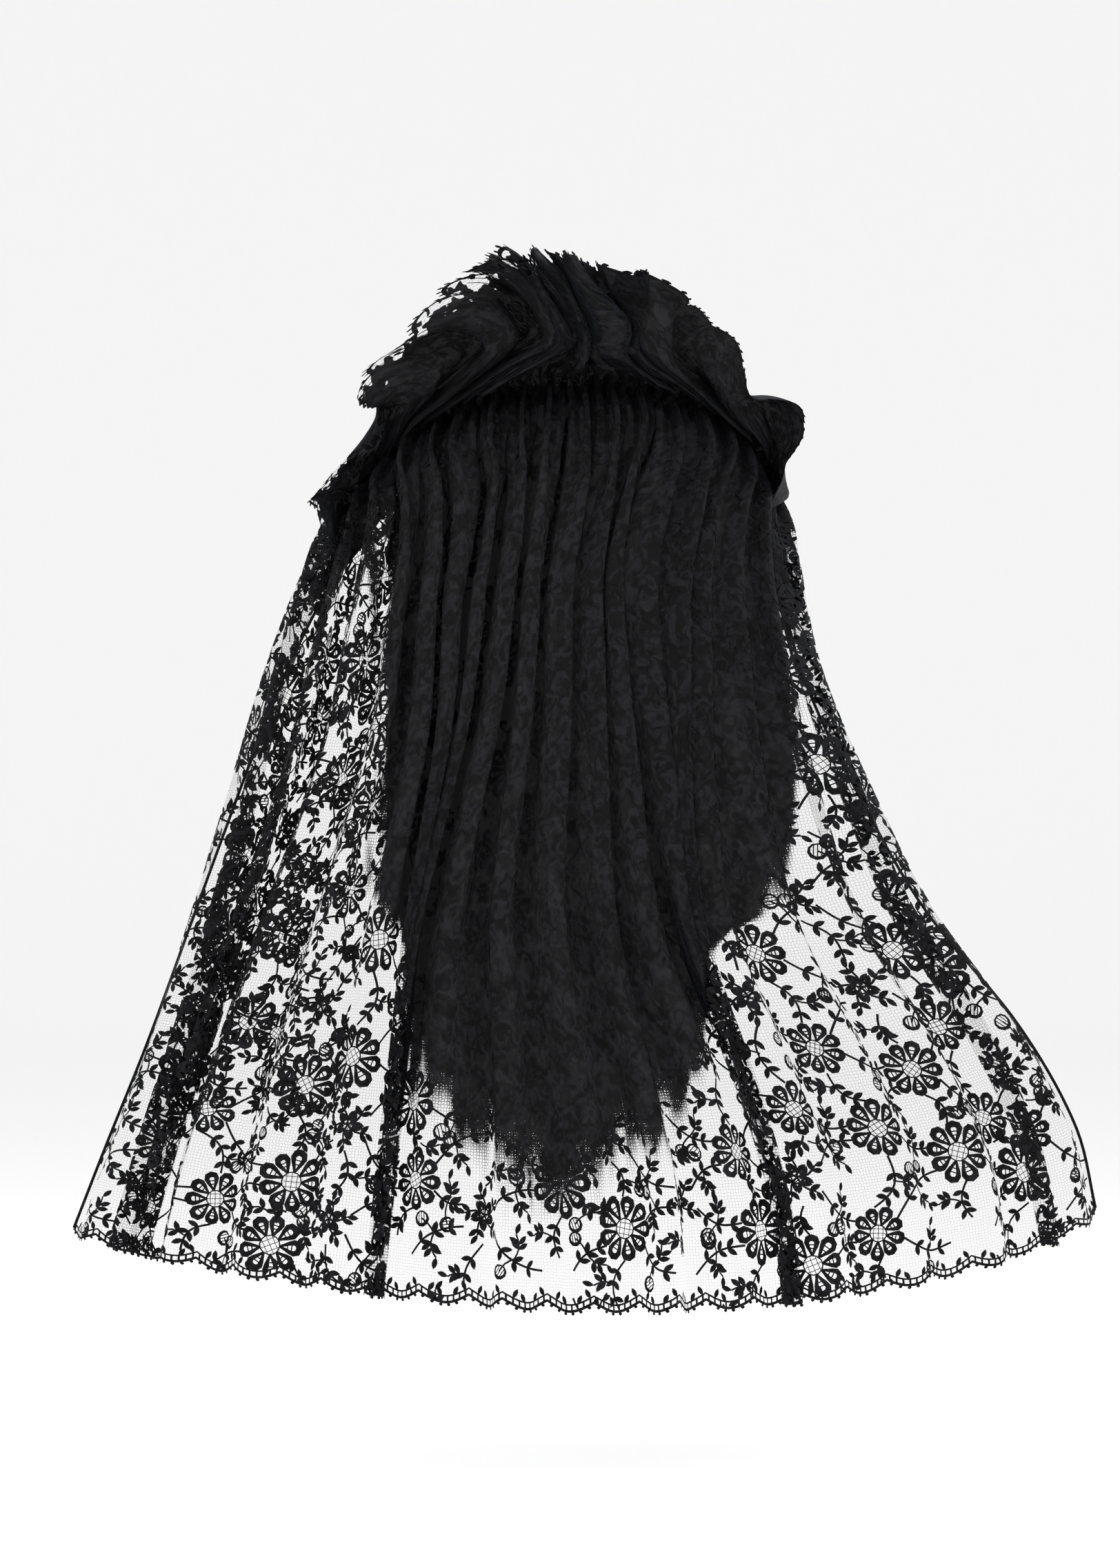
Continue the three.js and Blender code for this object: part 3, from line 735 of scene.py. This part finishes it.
def soften(shader):
    """Little gloss and a faint cool sheen, as soft black thread has."""
    shader.inputs["Specular IOR Level"].default_value = 0.08
    shader.inputs["Sheen Weight"].default_value = 0.012
    shader.inputs["Sheen Roughness"].default_value = 0.5
    shader.inputs["Sheen Tint"].default_value = (0.55, 0.62, 0.8, 1)


def ramp_between(tree, value, low, high, first=0.0, last=1.0):
    """A smooth step from first, where the value is low, to last, where it is high."""
    node = tree.nodes.new("ShaderNodeMapRange")
    node.interpolation_type = "SMOOTHSTEP"
    node.inputs["From Min"].default_value = low
    node.inputs["From Max"].default_value = high
    node.inputs["To Min"].default_value = first
    node.inputs["To Max"].default_value = last
    tree.links.new(value, node.inputs["Value"])
    return node.outputs["Result"]


def steady_between(tree, value, low, high, first, last):
    """A straight change from first to last."""
    node = tree.nodes.new("ShaderNodeMapRange")
    node.inputs["From Min"].default_value = low
    node.inputs["From Max"].default_value = high
    node.inputs["To Min"].default_value = first
    node.inputs["To Max"].default_value = last
    tree.links.new(value, node.inputs["Value"])
    return node.outputs["Result"]


def joined(tree, operation, first, second):
    """The result of a Math node on two values, each a socket or a number."""
    node = tree.nodes.new("ShaderNodeMath")
    node.operation = operation
    for value, socket in ((first, node.inputs[0]), (second, node.inputs[1])):
        if isinstance(value, float):
            socket.default_value = value
        else:
            tree.links.new(value, socket)
    return node.outputs["Value"]


# The dense middle of the back, in metres
MIDDLE_SIDES = (0.081, 0.092)  # how far from the middle it fades
MIDDLE_NARROWS = (-0.24, -0.212)  # the heights between which it narrows
MIDDLE_NARROWING = 0.023
MIDDLE_SHIFT = 0.012  # how far its lower part lies to the left
MIDDLE_ENDS = (-0.352, -0.31)  # the heights between which it fades
MIDDLE_ROUND = 13.0  # how strongly its lower end is rounded, per metre
STRAY = 0.006  # how far its edges stray


def fall_layers(tree, u, v):
    """Where the gathers lay the net in many layers: at the head, and down the middle of the back."""
    nodes, links = tree.nodes, tree.links
    place = nodes.new("ShaderNodeTexCoord")
    noise = nodes.new("ShaderNodeTexNoise")
    noise.inputs["Scale"].default_value = 75.0
    noise.inputs["Detail"].default_value = 2.0
    drawn = nodes.new("ShaderNodeMapping")
    drawn.inputs["Scale"].default_value = (1.0, 1.0, 0.12)
    links.new(place.outputs["Object"], drawn.inputs["Vector"])
    links.new(drawn.outputs["Vector"], noise.inputs["Vector"])
    stray = steady_between(tree, noise.outputs["Fac"], 0.3, 0.7, -STRAY, STRAY)
    axes = nodes.new("ShaderNodeSeparateXYZ")
    links.new(place.outputs["Object"], axes.inputs["Vector"])
    x, z = axes.outputs["X"], axes.outputs["Z"]
    low = ramp_between(tree, z, *MIDDLE_NARROWS, 1.0, 0.0)
    shift = joined(tree, "MULTIPLY", low, MIDDLE_SHIFT)
    centred = joined(tree, "ADD", joined(tree, "ADD", x, stray), shift)
    narrowing = joined(tree, "MULTIPLY", low, MIDDLE_NARROWING)
    from_middle = joined(tree, "ADD", joined(tree, "ABSOLUTE", centred, 0.0), narrowing)
    beside = ramp_between(tree, from_middle, *MIDDLE_SIDES, 1.0, 0.0)
    moved = joined(tree, "ADD", x, MIDDLE_SHIFT)
    wider = joined(tree, "MULTIPLY", joined(tree, "MULTIPLY", moved, moved), MIDDLE_ROUND)
    strayed = joined(tree, "ADD", z, joined(tree, "MULTIPLY", stray, 2.5))
    lowest = joined(tree, "SUBTRACT", strayed, wider)
    middle = joined(tree, "MULTIPLY", beside, ramp_between(tree, lowest, *MIDDLE_ENDS))
    return joined(tree, "MAXIMUM", middle, ramp_between(tree, v, 0.01, 0.05, 1.0, 0.0))


def frill_layers(tree, u, v):
    """The frill lies in many layers, with gaps in spots along its free edge at the left."""
    wide = CLOTH_WIDTH * MM
    place = tree.nodes.new("ShaderNodeTexCoord")
    through = tree.nodes.new("ShaderNodeMapping")
    through.inputs["Scale"].default_value = (1.0, 0.25, 1.0)
    tree.links.new(place.outputs["Object"], through.inputs["Vector"])
    noise = tree.nodes.new("ShaderNodeTexNoise")
    noise.inputs["Scale"].default_value = 190.0
    noise.inputs["Detail"].default_value = 1.0
    tree.links.new(through.outputs["Vector"], noise.inputs["Vector"])
    near_edge = ramp_between(tree, v, 0.007, 0.02, 1.0, 0.0)
    left = ramp_between(tree, u, 0.44 * wide, 0.54 * wide, 1.0, 0.0)
    gaps = joined(tree, "MULTIPLY", joined(tree, "MULTIPLY", near_edge, left), 0.38)
    level = joined(tree, "SUBTRACT", noise.outputs["Fac"], gaps)
    return ramp_between(tree, level, 0.1, 0.16)


# The lace's two blacks for its random soft spots: the lighter one's cool blue tint is a painted sheen
LACE_BLACKS_AND_PAINTED_SHEEN = ((0.002, 0.002, 0.002), (0.0068, 0.0068, 0.0085))
# The nets that lie over each other: cell size in metres, and the thread's half width as a share of
# it, where one layer lies and where many do
NETS = [
    (0.0013, 0.07, 0.34),
    (0.00083, -0.1, 0.34),
    (0.00101, -0.2, 0.6),
]


def net_material(name, layers, most):
    """Fine clear net: thin threads round small cells, denser where it lies in many layers.

    layers gives a share, from the place on the cloth. most is how much of the light the densest stops.
    """
    material, tree, shader = node_material(name)
    nodes, links = tree.nodes, tree.links
    uv = nodes.new("ShaderNodeUVMap")
    uv.uv_map = "cloth"
    place = nodes.new("ShaderNodeSeparateXYZ")
    links.new(uv.outputs["UV"], place.inputs["Vector"])
    dense = layers(tree, place.outputs["X"], place.outputs["Y"])
    through = None
    for size, least, most_reach in NETS:
        cells = nodes.new("ShaderNodeTexVoronoi")
        cells.voronoi_dimensions = "2D"
        cells.feature = "DISTANCE_TO_EDGE"
        cells.inputs["Scale"].default_value = 1.0 / size
        cells.inputs["Randomness"].default_value = 0.45
        links.new(uv.outputs["UV"], cells.inputs["Vector"])
        reach = steady_between(tree, dense, 0.0, 1.0, least, most_reach)
        inside = joined(tree, "SUBTRACT", reach, cells.outputs["Distance"])
        clear = ramp_between(tree, inside, -0.05, 0.05, 1.0, 0.0)
        through = clear if through is None else joined(tree, "MULTIPLY", through, clear)
    covered = joined(tree, "SUBTRACT", 1.0, through)
    strength = steady_between(tree, dense, 0.0, 0.5, 0.45, most)
    links.new(joined(tree, "MULTIPLY", covered, strength), shader.inputs["Alpha"])
    # Random soft spots of black, the lighter ones tinted cool as a painted sheen
    colour, spots = mottled(tree, uv.outputs["UV"], *LACE_BLACKS_AND_PAINTED_SHEEN)
    links.new(colour, shader.inputs["Base Color"])
    rough = steady_between(tree, spots, 0.0, 1.0, 0.7, 0.6)
    links.new(rough, shader.inputs["Roughness"])
    soften(shader)
    return material


def solid_material(name, colour, tint, roughness, bump_scale):
    """A plain surface for the band and the comb, on object coordinates."""
    material, tree, shader = node_material(name)
    nodes, links = tree.nodes, tree.links
    place = nodes.new("ShaderNodeTexCoord")
    noise = nodes.new("ShaderNodeTexNoise")
    noise.inputs["Scale"].default_value = bump_scale
    noise.inputs["Detail"].default_value = 3.0
    links.new(place.outputs["Object"], noise.inputs["Vector"])
    mix = nodes.new("ShaderNodeMix")
    mix.data_type = "RGBA"
    mix.inputs["A"].default_value = (*colour, 1)
    mix.inputs["B"].default_value = (*tint, 1)
    links.new(noise.outputs["Fac"], mix.inputs["Factor"])
    links.new(mix.outputs["Result"], shader.inputs["Base Color"])
    rough = steady_between(tree, noise.outputs["Fac"], 0.0, 1.0, roughness - 0.06, roughness + 0.08)
    links.new(rough, shader.inputs["Roughness"])
    bump = nodes.new("ShaderNodeBump")
    bump.inputs["Strength"].default_value = 0.2
    bump.inputs["Distance"].default_value = 0.0002
    links.new(noise.outputs["Fac"], bump.inputs["Height"])
    links.new(bump.outputs["Normal"], shader.inputs["Normal"])
    return material


def plain_material(name, colour):
    """A matt surface of one colour."""
    material, _, shader = node_material(name)
    shader.inputs["Base Color"].default_value = (*colour, 1)
    shader.inputs["Roughness"].default_value = 0.95
    shader.inputs["Specular IOR Level"].default_value = 0.1
    return material


def repaint(node, material):
    """Gives a CAD piece a better material. Its shape stays."""
    obj = bpy.data.objects[node]
    obj.data.materials.clear()
    obj.data.materials.append(material)


lace_thread = thread_material("lace_thread", *LACE_BLACKS_AND_PAINTED_SHEEN, 0.64, 0.0)
cord_thread = thread_material("cord_thread", *LACE_BLACKS_AND_PAINTED_SHEEN, 0.62, 0.4)
fall_net = net_material("fall_net", fall_layers, 0.995)
frill_net = net_material("frill_net", frill_layers, 0.993)

fall = Cloth(*fall_grid())
frill = Cloth(*frill_grid())

fall_top = fall.downs[0]


# Where each cloth begins and ends down it, at u millimetres along it
def fall_low(u):
    return np.full_like(np.asarray(u, float), fall_top)


def fall_high(u):
    return FALL_DROP - PICOT + scallop(u)


def frill_low(u):
    return SCALLOP_DEPTH + PICOT - scallop(u)


def frill_high(u):
    return np.full_like(np.asarray(u, float), FRILL_LENGTH)


veil_net = net_sheet("veil_net", fall, fall_low, fall_high)
veil_net.data.materials.append(fall_net)
ruffle_net = net_sheet("ruffle_net", frill, frill_low, frill_high)
ruffle_net.data.materials.append(frill_net)

pattern = Lace()
floral(pattern, CLOTH_WIDTH, fall_top, FALL_DROP - HEM_MARGIN, **FALL_FLOWERS)
border(pattern, CLOTH_WIDTH, fall_high, 1, True)
veil_lace = lay("veil_lace", pattern, fall, fall_low, fall_high, LIFT)
veil_lace.data.materials.append(lace_thread)

pattern = Lace()
floral(pattern, DOUBLED_WIDTH, DOUBLED_TOP, DOUBLED_BOTTOM, **DOUBLED_FLOWERS)
pattern.verts = [flat + np.array([DOUBLED_START, 0.0]) for flat in pattern.verts]
behind_lace = lay("veil_lace_behind", pattern, fall, fall_low, fall_high, DOUBLED_LIFT)
behind_lace.data.materials.append(lace_thread)

pattern = Lace()
floral(pattern, CLOTH_WIDTH, HEM_MARGIN, FRILL_LENGTH, **FRILL_FLOWERS)
border(pattern, CLOTH_WIDTH, frill_low, -1, False)
ruffle_lace = lay("ruffle_lace", pattern, frill, frill_low, frill_high, LIFT)
ruffle_lace.data.materials.append(lace_thread)

cord_left = cord_object("side_cord_left", fall.grid[:-1, 0], SIDE_CORD, cord_thread)
cord_right = cord_object("side_cord_right", fall.grid[:-1, -1], SIDE_CORD, cord_thread)

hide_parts("veil_fall")
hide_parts("ruffle")
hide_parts("selvage_left")
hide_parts("selvage_right")
for piece in (veil_net, ruffle_net, veil_lace, behind_lace, ruffle_lace, cord_left, cord_right):
    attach(piece, "root")

band_tape = solid_material("band_tape", (0.006, 0.006, 0.007), (0.014, 0.014, 0.016), 0.75, 900.0)
comb_plastic = solid_material("comb_plastic", (0.004, 0.004, 0.005), (0.008, 0.008, 0.009), 0.42, 60.0)
repaint("gathering_band", band_tape)
repaint("hair_comb", comb_plastic)

# The stage, in metres
FLOOR_HEIGHT = -0.47
FLOOR_INNER = 2.0
FLOOR_REACH = 4.5
WALL_BEND = 2.5
WALL_STEPS = 20
FLOOR_SIDES = 72


def backdrop():
    """A wide pale floor that curves up into a low wall all round, so that no horizon shows."""
    side = [(FLOOR_INNER, FLOOR_HEIGHT), (FLOOR_REACH, FLOOR_HEIGHT)]
    for a in np.linspace(0.08, math.pi / 2, WALL_STEPS):
        rise = WALL_BEND * (1 - math.cos(a))
        side.append((FLOOR_REACH + WALL_BEND * math.sin(a), FLOOR_HEIGHT + rise))
    turns = np.linspace(0, 2 * math.pi, FLOOR_SIDES, endpoint=False)
    verts = np.array([(r * math.cos(t), r * math.sin(t), z) for r, z in side for t in turns])
    faces = [tuple(range(FLOOR_SIDES))]
    for k in range(len(side) - 1):
        inner, outer = k * FLOOR_SIDES, (k + 1) * FLOOR_SIDES
        for i in range(FLOOR_SIDES):
            n = (i + 1) % FLOOR_SIDES
            faces.append((inner + i, outer + i, outer + n, inner + n))
    return mesh_object("floor", verts / MM, faces)


floor = backdrop()
floor.data.materials.append(plain_material("floor_pale", (0.9, 0.9, 0.9)))

world = bpy.data.worlds.new("studio")
world.use_nodes = True
world.node_tree.nodes["Background"].inputs["Color"].default_value = (1, 1, 1, 1)
world.node_tree.nodes["Background"].inputs["Strength"].default_value = 1.0
scene.world = world
scene.view_settings.view_transform = "Standard"

LIT_MIDDLE = Vector((0, 0, -0.18))


def area_light(name, place, size, power):
    """A square soft light that faces the veil's middle."""
    data = bpy.data.lights.new(name, "AREA")
    data.size = size
    data.energy = power
    light = bpy.data.objects.new(name, data)
    light.location = place
    light.rotation_mode = "QUATERNION"
    light.rotation_quaternion = (LIT_MIDDLE - Vector(place)).to_track_quat("-Z", "Y")
    scene.collection.objects.link(light)


area_light("key", (-0.8, -1.9, 0.9), 1.2, 24)
area_light("fill", (1.2, -1.7, 0.3), 1.4, 18)
area_light("rim", (0.2, 0.9, 1.3), 0.8, 6)

# The photo's frame and scale
PHOTO_HEIGHT = 2274
PHOTO_WIDTH = 1624
ORIGIN_X_PX = 848  # where the middle of the gathers is in it
ORIGIN_Y_PX = 560
PX_PER_MM = 3.42
MIDDLE_DEPTH = 0.045  # the photo's scale holds this far behind the gathers, amid the veil

camera_data = bpy.data.cameras.new("camera")
camera_data.sensor_width = 36.0
camera_data.lens = 150.0
camera_data.clip_start = 0.05
camera_data.clip_end = 50
camera = bpy.data.objects.new("camera", camera_data)
distance = PHOTO_HEIGHT / PX_PER_MM * MM * camera_data.lens / camera_data.sensor_width
centre_x = (PHOTO_WIDTH / 2 - ORIGIN_X_PX) / PX_PER_MM * MM
centre_z = (ORIGIN_Y_PX - PHOTO_HEIGHT / 2) / PX_PER_MM * MM
camera.location = (centre_x, -distance - MIDDLE_DEPTH, centre_z)
camera.rotation_euler = (math.pi / 2, 0, 0)
scene.collection.objects.link(camera)
scene.camera = camera
